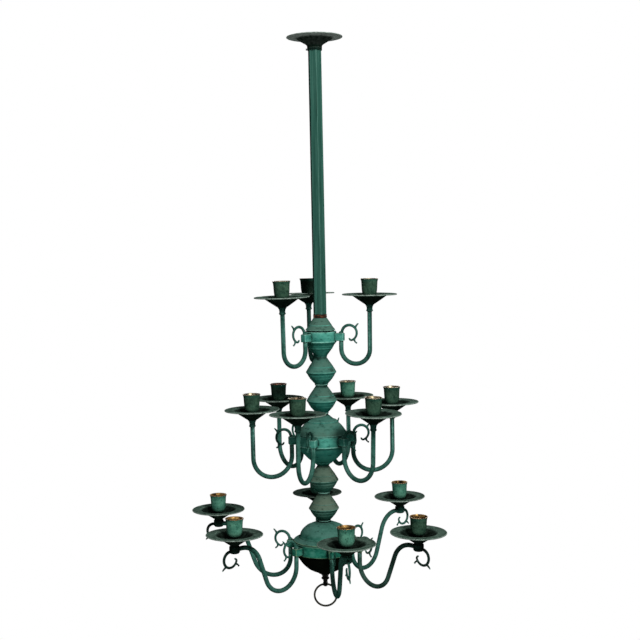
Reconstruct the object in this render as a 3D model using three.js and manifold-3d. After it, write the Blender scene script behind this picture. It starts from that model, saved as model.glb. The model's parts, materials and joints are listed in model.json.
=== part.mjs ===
// Candle chandelier with three tiers of swivelling arms on a turned column.
// Millimetres, +Z up, origin at the centre of the canopy's rim, in the plane of the ceiling.
// Azimuths are in degrees round +Z: 0 points along -Y, towards the viewer, and 90 along +X.
import * as THREE from "three";
import { mergeVertices } from "three/addons/utils/BufferGeometryUtils.js";
import Module from "manifold-3d";

const wasm = await Module();
wasm.setup();

// Clearances
const seatGap = 0.2; // between two pieces that are clamped face to face
const slipGap = 0.4; // round the canopy and its collar, which slide on the tube
const boreGap = 0.4; // round the tension rod and the studs
const shoulderGap = 0.4; // above and below a lug, where an arm turns in it

// Tension rod, tube and hanging loop
const rodRadius = 4;
const rodEngagement = 11; // how far the rod screws into the loop and the finial
const tubeAcrossFlats = 22.4;
const tubeWall = 1.6;
const tubeLength = 495;
const tubeTwist = 12; // azimuth of one corner of the hexagon
const tubeTop = -17;
const loopFlangeThickness = 2.8;
const loopEyeRadius = 7;
const loopHoleRadius = 4;
const loopThickness = 5;
const loopPlugDepth = 13;
const loopEyeRoot = 1.2; // how deep the eye is let into its flange

// Canopy and its collar
const canopyRadius = 52;
const canopyBrimInner = 35;
const canopyDepth = 21;
const canopyNeckWall = 0.8;
const canopyNeckFlare = 0.6;
const canopySheet = 1.2;
const collarHeight = 3.6;
const collarWall = 1.2;
const setScrewRadius = 1.6;
const setScrewReach = 1.4;

// Neck ring under the tube
const neckRingRadius = 13.2;
const neckRingHeight = 5.8;

// Turned column: each piece's height, and its greatest radius
const upperHubHeight = 73.5;
const upperHubRadius = 29.9;
const middleHubHeight = 97;
const middleHubRadius = 49;
const lowerHubHeight = 100;
const lowerHubRadius = 59.3;
const balusterHeight = 53.5;
const balusterRadius = 28.6;
const neckRadius = 11.4; // where two turned pieces of the column meet
const neckFlare = 0.8;
const lowerHubTopRadius = 13.4;
const shellWall = 2.2;

// Lugs, which are brazed to the hubs' bands
const lugWidth = 12.4;
const lugHeight = 14.7;
const lugOverhang = 5.6; // from the pin's axis to the lug's outer end
const lugStandoff = 10.2; // from the band to the pin's axis
const lugChamfer = 2.2;
const lugRoot = 1.4; // how deep the lug is let into the band
const lugBoreRadius = 3.6;

// Arms
const armRadius = 4.25;
const pinRadius = 2.8;
const collarRadius = 4.3; // of the scroll's foot, which hangs the arm on its lug
const collarRise = 2.6;
const rodRoot = 1; // how deep the pin is let into the rod
const studRadius = 2.4;
const studRise = 7;
const ferruleHeight = 13.7;
const ferruleBeadRadius = 6.4;
const ferruleNeckRadius = 5.6;
const ferruleTopRadius = 7.8;
const bossRadius = 9.6; // the block under a lower drip pan
const bossHeight = 15.5;
const bossArmDrop = 8.2; // from the pan's seat to the axis of the arm that enters the boss
const scrollRadius = 14.4;
const scrollWidth = 4.8;
const scrollThickness = 4.4;
const scrollTip = 2.8; // width at the curled end
const scrollHookRadius = 3.4;
const spurLength = 11.5; // from the middle of the scroll's strip
const scrollLift = 0.2; // of a scroll's start above the foot of its collar
const scrollOffset = 1.5; // of a scroll's start from the pin's axis, outwards
const scrollLead = 7; // straight stretch between a boss and its hanging scroll
const scrollRoot = 2.6; // of a hanging scroll's start from the boss's axis
const scrollDrop = 2.2; // of a hanging scroll's start below the arm's axis

// Each tier's arms: the reach from the pin to the cup, the height of the pan's brim over the lug's
// middle, and the depth below it of the centre of the first bend
const upperReach = 55.5;
const upperBrimRise = 80.8;
const upperBendDrop = 21.8;
const middleReach = 76.5;
const middleBrimRise = 64.9;
const middleBendDrop = 26.8;
const lowerReach = 146.4;
const lowerBrimRise = 58.5;
const lowerBendDrop = 27;
const lowerBendRadius = 37.5;
const lowerCrestRadius = 43.4;
const lowerClimb = 69; // degrees from level, between the two bends

// Drip pans and candle cups
const panRadius = 51;
const panBrimInner = 34.4;
const panDepth = 19.6;
const panSeatRadius = 8.8;
const panSheet = 1.2;
const cupRise = 28.2; // from the pan's brim to the cup's lip
const cupHeight = 34;
const cupLipRadius = 16.4;
const cupBodyRadius = 14.6;
const cupFootRadius = 5.2;
const cupWall = 1.5;
const cupFloor = 3;

// Finial and pull ring
const finialTopRadius = 9;
const finialNeckRadius = 6;
const finialBeadRadius = 7.6;
const finialStemRadius = 4.6;
const eyeDrop = 20; // from the finial's top to the middle of its eye
const eyeThickness = 5;
const eyeRadius = 5.5;
const eyeHoleRadius = 3.15;
const ringWireRadius = 1.9;
const ringRadius = 21.1;
const ringSeatGap = 0.3; // between the ring and the eye that it hangs in

// Facets round each kind of piece
const columnSides = 18;
const balusterSides = 16;
const canopySides = 18;
const panSides = 16;
const cupSides = 8;
const rodSides = 8; // arms, pins, ferrules and screws
const boreSides = 8;
const eyeSides = 10;
const ringSides = 5;
const ringSteps = 20;
const bendSteps = 8; // in each bend of an arm
const crestSteps = 4;
const scrollSteps = 7;
const hookSteps = 2;

// Each tier: its first lug's azimuth, its arms' shape, and each arm's turn from straight out and
// its droop, in degrees
const tiers = [
  {
    name: "upper",
    firstLug: 74.8,
    reach: upperReach,
    brimRise: upperBrimRise,
    bendDrop: upperBendDrop,
    arms: [
      { turn: -3.4, droop: 0.6 },
      { turn: -2.7, droop: 1.8 },
      { turn: 1, droop: 1 },
    ],
  },
  {
    name: "middle",
    firstLug: -17.2,
    reach: middleReach,
    brimRise: middleBrimRise,
    bendDrop: middleBendDrop,
    arms: [
      { turn: -2.3, droop: -1 },
      { turn: -1.1, droop: 2.3 },
      { turn: -2.3, droop: 0.2 },
      { turn: -9.3, droop: -0.3 },
      { turn: -6.7, droop: -0.1 },
      { turn: 9.6, droop: 0.3 },
    ],
  },
  {
    name: "lower",
    firstLug: 10.8,
    reach: lowerReach,
    brimRise: lowerBrimRise,
    bendDrop: lowerBendDrop,
    bendRadius: lowerBendRadius,
    climb: lowerClimb,
    crestRadius: lowerCrestRadius,
    arms: [
      { turn: -0.9, droop: -0.1 },
      { turn: -26.9, droop: 1.4 },
      { turn: 6, droop: -0.1 },
      { turn: -10.3, droop: 0.9 },
      { turn: 2.7, droop: -0.3 },
      { turn: 2.4, droop: -1.1 },
    ],
  },
];

const rad = THREE.MathUtils.degToRad;
const paint = (colour, roughness, metalness) =>
  new THREE.MeshStandardMaterial({ color: colour, roughness, metalness });
const verdigris = paint(0x3f7f70, 0.55, 0.25);
const darkVerdigris = paint(0x33483f, 0.6, 0.3);
const cupGreen = paint(0x3a5f4e, 0.5, 0.35);
const darkBronze = paint(0x2b2a26, 0.45, 0.7);
const copperBrown = paint(0x5a2f1c, 0.5, 0.7);
const steel = paint(0x8c8c88, 0.4, 0.9);

// A closed mesh as a solid that can be joined and cut
function solid(geometry) {
  const bare = geometry.clone();
  bare.deleteAttribute("normal");
  bare.deleteAttribute("uv");
  const merged = mergeVertices(bare, 1e-4);
  return new wasm.Manifold(
    new wasm.Mesh({
      numProp: 3,
      vertProperties: merged.attributes.position.array,
      triVerts: new Uint32Array(merged.index.array),
    }),
  );
}

function geometryOf(body) {
  const mesh = body.getMesh();
  const geometry = new THREE.BufferGeometry();
  geometry.setAttribute("position", new THREE.BufferAttribute(mesh.vertProperties, 3));
  geometry.setIndex(new THREE.BufferAttribute(mesh.triVerts, 1));
  geometry.computeVertexNormals();
  return geometry;
}

const joined = (...geometries) =>
  geometryOf(geometries.map(solid).reduce((whole, next) => whole.add(next)));

// A body of revolution about Z. The profile is [radius, height] pairs, from the bottom up on the
// outside and back down on the inside.
function turned(profile, sides) {
  const points = profile.map(([radius, height]) => new THREE.Vector2(radius, height));
  return new THREE.LatheGeometry(points, sides).rotateX(Math.PI / 2);
}

// A turned ring or shell: the outside from bottom to top, then the inside from top to bottom
const turnedShell = (outside, inside, sides) =>
  turned([...outside, ...inside, outside[0]], sides);

function cornersOf(sides, radius, firstAngle, centreX = 0) {
  const corner = (i) => firstAngle + (i * 2 * Math.PI) / sides;
  return Array.from({ length: sides }, (_, i) =>
    new THREE.Vector2(centreX + radius * Math.cos(corner(i)), radius * Math.sin(corner(i))),
  );
}
const regularOutline = (...measures) => new THREE.Shape(cornersOf(...measures));
const regularHole = (...measures) => new THREE.Path(cornersOf(...measures));

const extruded = (shape, depth) =>
  new THREE.ExtrudeGeometry(shape, { depth, bevelEnabled: false, curveSegments: boreSides });

// A drawing in the X-Z plane, given a thickness along Y and centred on it
const extrudedUpright = (shape, thickness) =>
  extruded(shape, thickness).rotateX(Math.PI / 2).translate(0, thickness / 2, 0);

// A path in the X-Z plane through chosen stations, so that straight stretches take no steps
class PlanarPath extends THREE.Curve {
  constructor(stations) {
    super();
    this.stations = stations;
  }
  getSpacedPoints() {
    return this.stations.map(({ x, z }) => new THREE.Vector3(x, 0, z));
  }
  computeFrenetFrames() {
    const tangents = this.stations.map(
      ({ heading }) => new THREE.Vector3(Math.cos(heading), 0, Math.sin(heading)),
    );
    const binormals = tangents.map(() => new THREE.Vector3(0, 1, 0));
    const normals = tangents.map((t, i) => new THREE.Vector3().crossVectors(binormals[i], t));
    return { tangents, normals, binormals };
  }
}

// Stations on an arc about (x, z), from one heading to another. A left-hand arc turns upwards.
function arcStations(x, z, radius, fromHeading, toHeading, steps) {
  const left = Math.sign(toHeading - fromHeading);
  return Array.from({ length: steps + 1 }, (_, i) => {
    const heading = rad(fromHeading + ((toHeading - fromHeading) * i) / steps);
    return {
      x: x + left * radius * Math.sin(heading),
      z: z - left * radius * Math.cos(heading),
      heading,
    };
  });
}

function sweptRod(stations, radius) {
  const section = regularOutline(rodSides, radius, Math.PI / rodSides);
  return new THREE.ExtrudeGeometry(section, {
    steps: stations.length - 1,
    bevelEnabled: false,
    extrudePath: new PlanarPath(stations),
  });
}

// A strip that follows stations, with its width tapering from one end to the other
function ribbon(stations, startWidth, endWidth) {
  const side = (sign) =>
    stations.map(({ x, z, heading }, i) => {
      const share = i / (stations.length - 1);
      const half = (sign * (startWidth + (endWidth - startWidth) * share)) / 2;
      return new THREE.Vector2(x - half * Math.sin(heading), z + half * Math.cos(heading));
    });
  return new THREE.Shape([...side(-1), ...side(1).reverse()]);
}

// Cast scroll: a C that starts at (0, 0) heading along +Z, runs straight for its lead, curls over
// towards +X and ends in a small hook, with a pointed spur at its shoulder and a tail below
function scrollGeometry(lead) {
  const hookStart = -160;
  const main = arcStations(scrollRadius, lead, scrollRadius, 90, hookStart, scrollSteps);
  const end = main[main.length - 1];
  const hookX = end.x + scrollHookRadius * Math.sin(rad(hookStart));
  const hookZ = end.z - scrollHookRadius * Math.cos(rad(hookStart));
  const hook = arcStations(hookX, hookZ, scrollHookRadius, hookStart, -270, hookSteps).slice(1);
  const start = lead > 0 ? [{ x: 0, z: 0, heading: rad(90) }] : [];
  const half = scrollWidth / 2;
  const pointed = (clock, heading) => {
    const x = scrollRadius * (1 + Math.cos(rad(clock)));
    const z = lead + scrollRadius * Math.sin(rad(clock));
    const along = new THREE.Vector2(Math.cos(rad(heading)), Math.sin(rad(heading)));
    return new THREE.Shape([
      new THREE.Vector2(x - half * along.y, z + half * along.x),
      new THREE.Vector2(x + half * along.y, z - half * along.x),
      new THREE.Vector2(x + spurLength * along.x, z + spurLength * along.y),
    ]);
  };
  const curl = ribbon([...start, ...main, ...hook], scrollWidth, scrollTip);
  const parts = [curl, pointed(45, 49), pointed(-52, -58)];
  return joined(...parts.map((shape) => extrudedUpright(shape, scrollThickness)));
}

// The column's stack, from the ceiling down
const tubeBottom = tubeTop - tubeLength;
const neckRingTop = tubeBottom - seatGap;
const upperHubTop = neckRingTop - neckRingHeight - seatGap;
const pairHeight = 2 * (balusterHeight + seatGap);
const middleHubTop = upperHubTop - upperHubHeight - seatGap - pairHeight;
const lowerHubTop = middleHubTop - middleHubHeight - seatGap - pairHeight;
const finialTop = lowerHubTop - lowerHubHeight - seatGap;
const rodBore = rodRadius + boreGap;

// Profiles hang from 0 at the piece's top. Each is written from the bottom up.
const shareOf = (radius) => (share) => radius * share;

function upperHubProfile() {
  const h = upperHubHeight;
  const r = shareOf(upperHubRadius);
  const bandTop = -h * 0.365;
  const bandBottom = -h * 0.614;
  return [
    [neckRadius, -h],
    [r(0.4), -h * 0.955],
    [r(0.51), -h * 0.862],
    [r(0.62), -h * 0.8],
    [r(0.8), -h * 0.704],
    [r(0.9), -h * 0.664],
    [r(1), bandBottom],
    [r(1), bandTop],
    [r(0.93), -h * 0.351],
    [r(0.975), -h * 0.324],
    [r(0.78), -h * 0.2],
    [r(0.73), -h * 0.185],
    [neckRadius + neckFlare, 0],
  ];
}

function middleHubProfile() {
  const h = middleHubHeight;
  const r = shareOf(middleHubRadius);
  const bandTop = -h * 0.376;
  const bandBottom = -h * 0.602;
  return [
    [neckRadius, -h],
    [neckRadius + neckFlare, -h * 0.975],
    [r(0.42), -h * 0.905],
    [r(0.59), -h * 0.85],
    [r(0.74), -h * 0.727],
    [r(0.93), -h * 0.622],
    [r(1), bandBottom],
    [r(1), bandTop],
    [r(0.965), -h * 0.364],
    [r(0.865), -h * 0.316],
    [r(0.58), -h * 0.15],
    [r(0.515), -h * 0.126],
    [r(0.38), -h * 0.097],
    [neckRadius, 0],
  ];
}

function lowerHubProfile() {
  const h = lowerHubHeight;
  const r = shareOf(lowerHubRadius);
  const bandTop = -h * 0.365;
  const bandBottom = -h * 0.57;
  return [
    [finialTopRadius, -h],
    [r(0.26), -h * 0.974],
    [r(0.4), -h * 0.932],
    [r(0.55), -h * 0.884],
    [r(0.69), -h * 0.81],
    [r(0.79), -h * 0.72],
    [r(0.91), -h * 0.6],
    [r(1), bandBottom],
    [r(1), bandTop],
    [r(0.92), -h * 0.319],
    [r(0.81), -h * 0.278],
    [r(0.78), -h * 0.23],
    [r(0.71), -h * 0.15],
    [r(0.56), -h * 0.085],
    [r(0.34), -h * 0.012],
    [lowerHubTopRadius, 0],
  ];
}

function balusterProfile() {
  const h = balusterHeight;
  const r = shareOf(balusterRadius);
  return [
    [neckRadius, -h],
    [r(0.64), -h * 0.82],
    [r(0.88), -h * 0.63],
    [r(1), -h * 0.52],
    [r(0.86), -h * 0.37],
    [r(0.82), -h * 0.36],
    [neckRadius + neckFlare / 2, -h * 0.03],
    [neckRadius, 0],
  ];
}

// The inside of a hollow turned piece: widest at its waist, and narrowed to the rod's bore at
// both ends
const hollowInside = (height, waistRadius, waist) => [
  [rodBore, 0],
  [rodBore, -shellWall * 2],
  [waistRadius, -height * waist],
  [rodBore, -height + shellWall * 2],
  [rodBore, -height],
];

// The plan of one lug, which points along +X from the hub's axis, with the pin's hole in it
function lugGeometry(hubRadius) {
  const pin = hubRadius + lugStandoff;
  const outer = pin + lugOverhang;
  const inner = hubRadius - lugRoot;
  const half = lugWidth / 2;
  const plan = new THREE.Shape([
    new THREE.Vector2(inner, -half),
    new THREE.Vector2(outer - lugChamfer, -half),
    new THREE.Vector2(outer, -half + lugChamfer),
    new THREE.Vector2(outer, half - lugChamfer),
    new THREE.Vector2(outer - lugChamfer, half),
    new THREE.Vector2(inner, half),
  ]);
  plan.holes.push(regularHole(boreSides, lugBoreRadius, 0, pin));
  return extruded(plan, lugHeight).translate(0, 0, -lugHeight / 2);
}

const turnOf = (azimuth) => rad(azimuth - 90);
const lugAzimuth = (tier, i) => tier.firstLug + (360 / tier.arms.length) * i;

function hubGeometry(profile, inside, hubRadius, tier, lugDepth) {
  const lugs = tier.arms.map((_, i) =>
    lugGeometry(hubRadius)
      .rotateZ(turnOf(lugAzimuth(tier, i)))
      .translate(0, 0, lugDepth),
  );
  return joined(turnedShell(profile, inside, columnSides), ...lugs);
}

// Where the arm of each tier hangs: the middle of the hub's band
const hubs = [
  { top: upperHubTop, height: upperHubHeight, radius: upperHubRadius, bandMiddle: 0.4895 },
  { top: middleHubTop, height: middleHubHeight, radius: middleHubRadius, bandMiddle: 0.489 },
  { top: lowerHubTop, height: lowerHubHeight, radius: lowerHubRadius, bandMiddle: 0.4675 },
];
const hubProfiles = [upperHubProfile, middleHubProfile, lowerHubProfile];

// An arm in its own frame: +X outwards, with the pin's axis on Z and the lug's middle at 0
function armGeometry(tier) {
  const lugTop = lugHeight / 2;
  const shoulder = -lugTop - shoulderGap;
  const seat = tier.brimRise - panDepth;
  const foot = lugTop + shoulderGap;
  const pinFoot = shoulder - rodRoot;
  const pin = turned(
    [
      [0, pinFoot],
      [pinRadius, pinFoot],
      [pinRadius, foot],
      [collarRadius, foot],
      [scrollWidth / 2, foot + collarRise],
      [0, foot + collarRise],
    ],
    rodSides,
  );
  const scroll = scrollGeometry(0).translate(scrollOffset, 0, foot + scrollLift);
  const stud = [
    [studRadius, -seatGap],
    [studRadius, studRise],
    [0, studRise],
  ];
  const start = { x: 0, z: shoulder, heading: rad(-90) };
  if (tier.climb) {
    const boss = turned(
      [
        [0, -bossHeight],
        [bossRadius * 0.6, -bossHeight],
        [bossRadius, -bossHeight * 0.72],
        [bossRadius, -bossHeight * 0.2],
        [ferruleTopRadius, -seatGap],
        ...stud,
      ],
      rodSides,
    ).translate(tier.reach, 0, seat);
    const armZ = seat - bossArmDrop;
    const crestZ = armZ - tier.crestRadius;
    const low = arcStations(
      tier.bendRadius,
      -tier.bendDrop,
      tier.bendRadius,
      -90,
      tier.climb,
      bendSteps,
    );
    const lowEnd = low[low.length - 1];
    const climbRise = crestZ + tier.crestRadius * Math.cos(rad(tier.climb)) - lowEnd.z;
    const crestX =
      lowEnd.x +
      climbRise / Math.tan(rad(tier.climb)) +
      tier.crestRadius * Math.sin(rad(tier.climb));
    const crest = arcStations(crestX, crestZ, tier.crestRadius, tier.climb, 0, crestSteps);
    const end = { x: tier.reach, z: armZ, heading: 0 };
    const rod = sweptRod([start, ...low, ...crest, end], armRadius);
    const hanging = scrollGeometry(scrollLead)
      .rotateY(Math.PI / 2)
      .translate(tier.reach + scrollRoot, 0, armZ - scrollDrop);
    return joined(rod, pin, scroll, boss, hanging);
  }
  const ferrule = turned(
    [
      [0, -ferruleHeight],
      [armRadius, -ferruleHeight],
      [ferruleBeadRadius, -ferruleHeight * 0.86],
      [ferruleBeadRadius, -ferruleHeight * 0.74],
      [ferruleNeckRadius, -ferruleHeight * 0.6],
      [ferruleNeckRadius, -ferruleHeight * 0.4],
      [ferruleTopRadius, -seatGap],
      ...stud,
    ],
    rodSides,
  ).translate(tier.reach, 0, seat);
  const bend = arcStations(tier.reach / 2, -tier.bendDrop, tier.reach / 2, -90, 90, bendSteps);
  const end = { x: tier.reach, z: seat - ferruleHeight / 2, heading: rad(90) };
  const rod = sweptRod([start, ...bend, end], armRadius);
  return joined(rod, pin, scroll, ferrule);
}

// Drip pan, with its brim's top at 0 and its seat panDepth below
const studBore = studRadius + boreGap;
const panEdge = panRadius / Math.cos(Math.PI / panSides); // so that the flats stand at its radius
const panGeometry = turnedShell(
  [
    [studBore, -panDepth],
    [panSeatRadius, -panDepth],
    [panBrimInner, -panSheet],
    [panEdge, -panSheet],
  ],
  [
    [panEdge, 0],
    [panBrimInner, 0],
    [panSeatRadius, -panDepth + panSheet],
    [studBore, -panDepth + panSheet],
  ],
  panSides,
);

// Candle cup in the pan's frame: a flared beaker on a foot that stands in the pan
const cupBottom = cupRise - cupHeight;
const cupFootBottom = -panDepth + panSheet + seatGap;
const cupGeometry = turned(
  [
    [0, -panDepth + studRise + boreGap],
    [studBore, -panDepth + studRise + boreGap],
    [studBore, cupFootBottom],
    [cupFootRadius, cupFootBottom],
    [cupFootRadius, cupBottom],
    [cupBodyRadius * 0.84, cupBottom + cupHeight * 0.2],
    [cupBodyRadius, cupRise - cupHeight * 0.14],
    [cupLipRadius, cupRise],
    [cupLipRadius - cupWall, cupRise],
    [cupBodyRadius - cupWall, cupRise - cupHeight * 0.14],
    [cupBodyRadius * 0.84 - cupWall, cupBottom + cupHeight * 0.2],
    [cupFootRadius, cupBottom + cupFloor],
    [0, cupBottom + cupFloor],
  ],
  cupSides,
);

const part = new THREE.Group();

function add(parent, name, geometry, material) {
  const mesh = new THREE.Mesh(geometry, material);
  mesh.name = name;
  parent.add(mesh);
  return mesh;
}

// Hexagonal tube
function hexTubeGeometry() {
  const firstCorner = turnOf(tubeTwist);
  const cornerRadius = (flats) => flats / 2 / Math.cos(Math.PI / 6);
  const section = regularOutline(6, cornerRadius(tubeAcrossFlats), firstCorner);
  const bore = cornerRadius(tubeAcrossFlats - 2 * tubeWall);
  section.holes.push(regularHole(6, bore, firstCorner));
  return extruded(section, tubeLength).translate(0, 0, tubeBottom);
}
add(part, "stem_tube", hexTubeGeometry(), verdigris);

// Tension rod, from the loop's plug to the finial
const loopPlugBottom = tubeTop - loopPlugDepth;
const rodTop = loopPlugBottom + rodEngagement;
const rodBottom = finialTop - rodEngagement;
const rodGeometry = new THREE.CylinderGeometry(rodRadius, rodRadius, rodTop - rodBottom, boreSides)
  .rotateX(Math.PI / 2)
  .translate(0, 0, (rodTop + rodBottom) / 2);
add(part, "tension_rod", rodGeometry, steel);

// Hanging loop: a plug in the tube, a flange on its end and an eye for the ceiling hook
function hangingLoopGeometry() {
  const flangeRadius = tubeAcrossFlats / 2;
  const plugRadius = tubeAcrossFlats / 2 - tubeWall - boreGap;
  const flangeTop = tubeTop + seatGap + loopFlangeThickness;
  const plug = turned(
    [
      [0, rodTop + boreGap],
      [rodBore, rodTop + boreGap],
      [rodBore, loopPlugBottom],
      [plugRadius, loopPlugBottom],
      [plugRadius, tubeTop + seatGap],
      [flangeRadius, tubeTop + seatGap],
      [flangeRadius, flangeTop],
      [0, flangeTop],
    ],
    eyeSides,
  );
  const eye = regularOutline(eyeSides, loopEyeRadius, 0);
  eye.holes.push(regularHole(boreSides, loopHoleRadius, 0));
  const eyeSolid = extrudedUpright(eye, loopThickness);
  return joined(plug, eyeSolid.translate(0, 0, flangeTop + loopEyeRadius - loopEyeRoot));
}
add(part, "hanging_loop", hangingLoopGeometry(), steel);

// Canopy and collar
const tubeCorner = tubeAcrossFlats / 2 / Math.cos(Math.PI / 6);
const slideBore = (tubeCorner + slipGap) / Math.cos(Math.PI / canopySides);
const canopyGeometry = turnedShell(
  [
    [slideBore, -canopyDepth],
    [slideBore + canopyNeckWall, -canopyDepth],
    [slideBore + canopyNeckWall + canopyNeckFlare, -canopyDepth * 0.84],
    [canopyBrimInner * 0.8, -canopyDepth * 0.33],
    [canopyBrimInner, -canopySheet],
    [canopyRadius, -canopySheet],
  ],
  [
    [canopyRadius, 0],
    [canopyBrimInner, 0],
    [canopyBrimInner * 0.8 - canopySheet, -canopyDepth * 0.33 + canopySheet],
    [slideBore, -canopyDepth * 0.84 + canopySheet],
  ],
  canopySides,
);
add(part, "canopy", canopyGeometry, darkVerdigris);

function collarGeometry() {
  const top = -canopyDepth - seatGap;
  const bottom = top - collarHeight;
  const outer = slideBore + collarWall;
  const ring = turnedShell(
    [
      [slideBore, bottom],
      [outer, bottom],
    ],
    [
      [outer, top],
      [slideBore, top],
    ],
    canopySides,
  );
  const screwLength = setScrewReach + collarWall / 2;
  const screw = new THREE.CylinderGeometry(setScrewRadius, setScrewRadius, screwLength, rodSides)
    .rotateZ(Math.PI / 2)
    .translate(-(outer - collarWall / 2 + screwLength / 2), 0, (top + bottom) / 2);
  return joined(ring, screw);
}
add(part, "canopy_collar", collarGeometry(), darkVerdigris);

const neckRingBottom = neckRingTop - neckRingHeight;
const neckRingGeometry = turnedShell(
  [
    [rodBore, neckRingBottom],
    [neckRingRadius, neckRingBottom],
  ],
  [
    [neckRingRadius, neckRingTop],
    [rodBore, neckRingTop],
  ],
  canopySides,
);
add(part, "neck_ring", neckRingGeometry, copperBrown);

// Hubs
tiers.forEach((tier, i) => {
  const { top, height, radius, bandMiddle } = hubs[i];
  const inside = hollowInside(height, radius - shellWall, bandMiddle);
  const geometry = hubGeometry(hubProfiles[i](), inside, radius, tier, -height * bandMiddle);
  add(part, `${tier.name}_hub`, geometry, verdigris).position.z = top;
});

// Balusters, two under the upper hub and two under the middle one
const balusterGeometry = turnedShell(
  balusterProfile(),
  hollowInside(balusterHeight, balusterRadius - shellWall, 0.5),
  balusterSides,
);
[
  upperHubTop - upperHubHeight - seatGap,
  middleHubTop - middleHubHeight - seatGap,
].forEach((pairTop, pair) =>
  [0, 1].forEach((place) => {
    const name = `baluster_${2 * pair + place + 1}`;
    const top = pairTop - place * (balusterHeight + seatGap);
    add(part, name, balusterGeometry, verdigris).position.z = top;
  }),
);

// Finial with the eye that carries the pull ring
const eyeZ = finialTop - eyeDrop;
function finialGeometry() {
  const body = turned(
    [
      [0, eyeZ + eyeRadius * 0.7],
      [finialStemRadius * 0.9, eyeZ + eyeRadius * 0.7],
      [finialStemRadius, finialTop - eyeDrop * 0.62],
      [finialBeadRadius, finialTop - eyeDrop * 0.5],
      [finialBeadRadius, finialTop - eyeDrop * 0.4],
      [finialNeckRadius, finialTop - eyeDrop * 0.28],
      [finialTopRadius, finialTop],
      [rodBore, finialTop],
      [rodBore, rodBottom - boreGap],
      [0, rodBottom - boreGap],
    ],
    eyeSides,
  );
  const eye = regularOutline(eyeSides, eyeRadius, 0);
  eye.holes.push(regularHole(boreSides, eyeHoleRadius, Math.PI / 2));
  const plate = extrudedUpright(eye, eyeThickness).rotateZ(Math.PI / 2).translate(0, 0, eyeZ);
  return joined(body, plate);
}
add(part, "finial", finialGeometry(), darkBronze);

// Pull ring, hanging in the eye with its plane across the line of sight
const ringHang = eyeHoleRadius * Math.cos(Math.PI / boreSides) - ringWireRadius - ringSeatGap;
const ringAxisZ = eyeZ - ringHang;
const ringGeometry = new THREE.TorusGeometry(ringRadius, ringWireRadius, ringSides, ringSteps)
  .rotateX(Math.PI / 2)
  .translate(0, 0, ringAxisZ - ringRadius);
add(part, "pull_ring", ringGeometry, darkBronze);

// Arms, each with its drip pan and candle cup
tiers.forEach((tier, t) => {
  const { top, height, radius, bandMiddle } = hubs[t];
  const geometry = armGeometry(tier);
  tier.arms.forEach(({ turn, droop }, i) => {
    const lug = new THREE.Group();
    lug.rotation.z = turnOf(lugAzimuth(tier, i));
    const pin = new THREE.Group();
    pin.position.set(radius + lugStandoff, 0, top - height * bandMiddle);
    pin.rotation.set(0, rad(droop), rad(turn), "ZYX");
    lug.add(pin);
    part.add(lug);
    const name = `${tier.name}_arm_${i + 1}`;
    add(pin, name, geometry, verdigris);
    const pan = add(pin, `${tier.name}_pan_${i + 1}`, panGeometry, darkVerdigris);
    pan.position.set(tier.reach, 0, tier.brimRise);
    const cup = add(pin, `${tier.name}_cup_${i + 1}`, cupGeometry, cupGreen);
    cup.position.set(tier.reach, 0, tier.brimRise);
  });
});

export default part;
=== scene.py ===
import json
import math
import bpy
from mathutils import Matrix, Vector


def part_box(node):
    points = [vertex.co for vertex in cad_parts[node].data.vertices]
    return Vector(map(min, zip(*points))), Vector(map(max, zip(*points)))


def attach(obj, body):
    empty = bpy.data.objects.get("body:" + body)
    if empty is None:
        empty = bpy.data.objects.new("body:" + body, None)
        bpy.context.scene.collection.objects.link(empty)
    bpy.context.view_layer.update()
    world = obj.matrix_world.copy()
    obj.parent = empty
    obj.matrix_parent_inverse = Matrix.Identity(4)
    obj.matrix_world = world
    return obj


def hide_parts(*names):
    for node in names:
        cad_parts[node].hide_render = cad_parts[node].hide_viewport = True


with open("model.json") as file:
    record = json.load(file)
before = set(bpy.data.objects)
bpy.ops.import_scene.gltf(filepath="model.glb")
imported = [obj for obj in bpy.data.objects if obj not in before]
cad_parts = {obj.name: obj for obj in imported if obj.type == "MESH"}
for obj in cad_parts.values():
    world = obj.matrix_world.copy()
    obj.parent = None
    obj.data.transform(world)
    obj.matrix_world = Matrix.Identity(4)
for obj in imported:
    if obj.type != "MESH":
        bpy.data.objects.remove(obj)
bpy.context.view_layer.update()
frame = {"nodes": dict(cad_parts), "record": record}
mm = 0.001
creaseAngle = 35     # edges sharper than this, in degrees, are shaded as edges


# Small helpers for modelling with operators

def pickOnly(*pieces):
    if bpy.context.object and bpy.context.object.mode != "OBJECT":
        bpy.ops.object.mode_set(mode="OBJECT")
    bpy.ops.object.select_all(action="DESELECT")
    for piece in pieces:
        piece.select_set(True)
    if pieces:
        bpy.context.view_layer.objects.active = pieces[0]


def smoothShade(piece, degrees=creaseAngle):
    pickOnly(piece)
    bpy.ops.object.shade_smooth_by_angle(angle=math.radians(degrees))


def finishMesh(piece, name, edgeWidth=0.0):
    # puts its place into the mesh, merges doubles, points the faces outwards and rounds the edges
    pickOnly(piece)
    bpy.ops.object.transform_apply(location=True, rotation=True, scale=True)
    bpy.ops.object.mode_set(mode="EDIT")
    bpy.ops.mesh.select_all(action="SELECT")
    bpy.ops.mesh.remove_doubles(threshold=0.002 * mm)
    bpy.ops.mesh.normals_make_consistent(inside=False)
    bpy.ops.object.mode_set(mode="OBJECT")
    if edgeWidth:
        applyModifier(piece, "BEVEL", width=edgeWidth * mm, segments=2, limit_method="ANGLE",
                      angle_limit=math.radians(18), harden_normals=False)
    smoothShade(piece)
    piece.name = name
    piece.data.name = name
    return piece


def applyModifier(piece, kind, **settings):
    pickOnly(piece)
    bpy.ops.object.modifier_add(type=kind)
    modifier = piece.modifiers[-1]
    for key, value in settings.items():
        setattr(modifier, key, value)
    bpy.ops.object.modifier_apply(modifier=modifier.name)


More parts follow.
